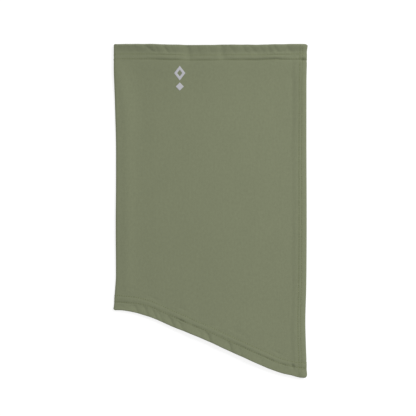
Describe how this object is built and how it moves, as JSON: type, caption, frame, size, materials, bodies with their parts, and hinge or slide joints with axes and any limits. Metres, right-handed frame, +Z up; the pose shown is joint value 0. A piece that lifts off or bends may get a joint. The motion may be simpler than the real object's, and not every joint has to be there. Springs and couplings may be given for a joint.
{
  "type": "neck gaiter",
  "caption": "Knit neck gaiter laid flat: an open cloth tube with a straight neck hem, a slanting chest hem, a topstitched side seam and a small reflective mark.",
  "frame": {"origin": "middle of the tube's footprint, on the face it rests on", "axes": "+X across the tube from the folded side to the seam side, +Y along the tube from the chest hem to the neck hem, +Z up from the back layer to the front layer"},
  "size_m": [0.24, 0.415, 0.012],
  "materials": {
    "knit_cloth": "matt fine jersey knit",
    "needle_thread": "twisted polyester thread",
    "looper_thread": "soft textured polyester thread",
    "reflective_film": "satin grey heat-transfer film"
  },
  "bodies": {
    "root": {"body_panel": "knit_cloth", "neck_hem_needle_thread_upper": "needle_thread", "neck_hem_needle_thread_lower": "needle_thread", "neck_hem_looper_thread": "looper_thread", "chest_hem_needle_thread_upper": "needle_thread", "chest_hem_needle_thread_lower": "needle_thread", "chest_hem_looper_thread": "looper_thread", "side_seam_topstitch_thread_outer": "needle_thread", "side_seam_topstitch_thread_inner": "needle_thread", "side_seam_topstitch_looper_thread": "looper_thread", "side_seam_overlock_needle_thread": "needle_thread", "side_seam_overlock_looper_thread": "looper_thread", "reflective_mark_upper": "reflective_film", "reflective_mark_lower": "reflective_film"}
  },
  "joints": []
}
